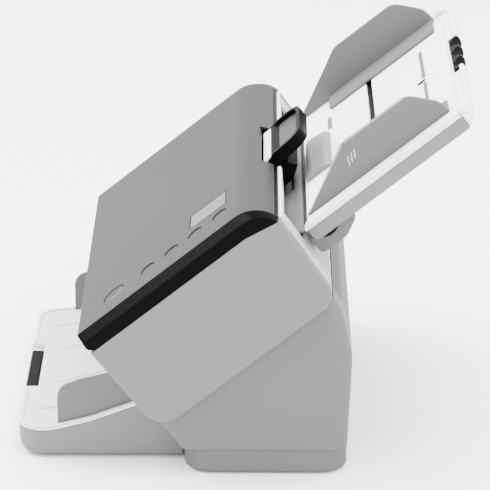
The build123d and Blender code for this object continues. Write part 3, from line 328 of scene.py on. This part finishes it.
# ---------------------------------------------------------------- detail pieces
def tray_details():
    """Sensor windows, bar inlays, label and seam on the deck of the input tray, and a near-black sheet of
    painted shade at the bottom of its slot.
    """
    for name, s, top in (("deck_sensor_upper", 333.0, 67.07), ("deck_sensor_lower", 261.3, 66.35)):
        slab(name, ellipse(5, s, 2.3, 4.0), top - 0.65, top, "sensor_black", "input_tray")
    for name, span in (("deck_bar_inlay", (9.5, 66)), ("deck_bar_inlay_far", (-66, 0.5))):
        slab(name, box_plan(span, (334.2, 337.4), 1.2), BAR_TOP - 0.1, BAR_TOP + 0.05, "fin_plastic",
             "input_tray")
    slab("deck_bar_lower", box_plan((-73, -45), (244.4, 248.4), 1.5), DECK_TOP - 0.1, DECK_TOP + 0.25,
         "fin_plastic", "input_tray")
    slab("deck_label", box_plan((46, 62), (240, 250), 0.6), DECK_TOP - 0.05, DECK_TOP + 0.08, "hump_plastic",
         "input_tray")
    slab("deck_seam_near", box_plan((20, 20.5), (328, 358.6), 0.2), DECK_TOP - 0.05, DECK_TOP + 0.05,
         "hump_plastic", "input_tray", edge=0.05)
    # A near-black sheet under the deck's slot paints the shade inside it.
    slab("deck_slot_shade", box_plan((-102, 102), (283.4, 288.2), 1.8), 64.0, 64.3, "sensor_black",
         "input_tray")


def fin_line(start, end, half_width=0.35):
    """Thin bar between two points of a guide's side."""
    (s0, n0), (s1, n1) = start, end
    across = Vector((n0 - n1, s1 - s0)).normalized() * half_width
    corners = [(s0 - across.x, n0 - across.y), (s1 - across.x, n1 - across.y),
               (s1 + across.x, n1 + across.y), (s0 + across.x, n0 + across.y)]
    return rounded(corners, 0.2)


def fin_ridge(k):
    """Outline of one slanted ridge; each next one is a little farther up the slope."""
    s = 271.0 + 3.4 * k
    foot, head = 81.6 + 1.2 * k, 88.2 + 0.6 * k
    return rounded([(s, foot), (s + 0.9, foot - 0.4), (s + 4.4, head), (s + 3.5, head + 0.4)], 0.4)


def fin_details():
    """Three small raised ridges and a light edge on the outer face of each paper guide, all in a pale grey
    that is painted highlight: the edge lines are only painted highlight where the front and top edges catch
    the light.
    """
    root = FIN_SIDE - 0.1
    # Thin lines of painted highlight where the guide's front and top edges catch the light.
    highlight_lines = {"front": ((224.6, 70.6), (276.0, 97.4)),
             "top": ((279.0, FIN_TOP - 0.3), (333.0, FIN_TOP - 0.3))}
    for body, axes in (("right_guide", TO_THE_RIGHT), ("left_guide", TO_THE_LEFT)):
        for k in range(3):
            slab(f"{body}_ridge_{k}", fin_ridge(k), root, FIN_SIDE + 0.25, "fin_edge", body, 0.12, axes)
        for tag, ends in highlight_lines.items():
            slab(f"{body}_edge_{tag}", fin_line(*ends), root, FIN_SIDE + 0.12, "fin_edge", body, 0.1, axes)


def face_details():
    """Outline and glass of the display, and a thin black ring of painted shade in the recess around each
    push button.
    """
    ring("display_outline", box_plan((75.6, 102.9), (145.1, 179.9), 1.0),
         box_plan((76.5, 102.0), (146.0, 179.0), 0.8), FACE - 0.6, FACE + 0.03, "bezel_black",
         "scanner_cover")
    slab("display_glass", box_plan((76.8, 101.7), (146.3, 178.7), 0.7), FACE - 0.5, FACE - 0.02,
         "display_black", "scanner_cover")
    for body, s, radius in (("power_button", 73.8, 9.4), ("back_button", 106.0, 6.2),
                            ("down_button", 128.5, 6.2), ("up_button", 150.6, 6.2),
                            ("select_button", 173.7, 6.2)):
        # A thin black ring just below the face paints the shade in the recess around each button.
        within = radius - 0.7
        ring(f"{body}_recess_shade", ellipse(BUTTON_X, s, radius, radius), ellipse(BUTTON_X, s, within, within),
             FACE - 0.5, FACE - 0.2, "bezel_black", body)


def lever_details():
    """Silver inlay in the dish of the release lever and the pale root of its arm."""
    slab("lever_inlay", box_plan((-30.5, 30.5), (219.5, 237.5), 7.0), LEVER_DISH - 1.2, LEVER_DISH,
         "lever_silver", "release_lever", 0.4)
    slab("lever_root", box_plan((-33.0, 33.0), (206.0, 213.0), 1.5), LEVER_DISH - 2.2, LEVER_DISH + 1.1,
         "liner_white", "release_lever", 0.6)


def port_details():
    """Contacts inside the power inlet and the USB port."""
    slab("inlet_pin", ellipse(-41, 40, 1.1, 1.1, 20), PORT_DEPTH - 1.0, 158.0, "shaft_steel", "base", 0.5,
         TO_THE_REAR, DESK_ORIGIN)
    for k in range(2):
        x = 28.4 + 2.2 * k
        slab(f"usb_contact_{k}", box_plan((x, x + 1.1), (39.75, 39.95), 0.05), PORT_DEPTH, 157.4, "brass",
             "base", 0.1, TO_THE_REAR, DESK_ORIGIN)


tray_details()
fin_details()
face_details()
lever_details()
port_details()


# ---------------------------------------------------------------- light, floor and camera
SUBJECT = (0, 0, 0.12)   # middle of the machine, which both lamps are aimed at


def area_light(name, spot, size, power):
    """Square lamp aimed at the machine."""
    data = bpy.data.lights.new(name, "AREA")
    data.shape = "RECTANGLE"
    data.size = size
    data.size_y = size
    data.energy = power
    lamp = bpy.data.objects.new(name, data)
    bpy.context.scene.collection.objects.link(lamp)
    lamp.location = spot
    lamp.rotation_euler = (Vector(SUBJECT) - Vector(spot)).to_track_quat("-Z", "Y").to_euler()


def studio():
    world = bpy.data.worlds.new("studio")
    bpy.context.scene.world = world
    world.use_nodes = True
    world.node_tree.nodes["Background"].inputs["Color"].default_value = (1, 1, 1, 1)
    world.node_tree.nodes["Background"].inputs["Strength"].default_value = 3.4
    area_light("key", (-0.4, -1.6, 1.9), 1.2, 110)
    area_light("top", (0.0, 0.5, 2.2), 1.4, 130)


def studio_floor():
    mesh = bpy.data.meshes.new("studio_floor")
    shape = bmesh.new()
    bmesh.ops.create_grid(shape, x_segments=1, y_segments=1, size=6.0)
    shape.to_mesh(mesh)
    shape.free()
    floor = bpy.data.objects.new("studio_floor", mesh)
    bpy.context.scene.collection.objects.link(floor)
    mesh.materials.append(plastic("studio_floor", 0.95, 0.8, grain=300, bump=0.02, edge=0.0, spread=0.01))


def camera():
    """Long lens, from the machine's right and a little above it, as the photograph was taken."""
    data = bpy.data.cameras.new("camera")
    data.sensor_width = 36.0
    data.lens = 217.0
    data.clip_end = 50.0
    cam = bpy.data.objects.new("camera", data)
    bpy.context.scene.collection.objects.link(cam)
    cam.location = (2.13827, 0.09554 - MIDDLE / 1000, 0.94701)
    cam.rotation_euler = (math.radians(69), 0, math.radians(90.3))
    bpy.context.scene.camera = cam


studio()
studio_floor()
camera()
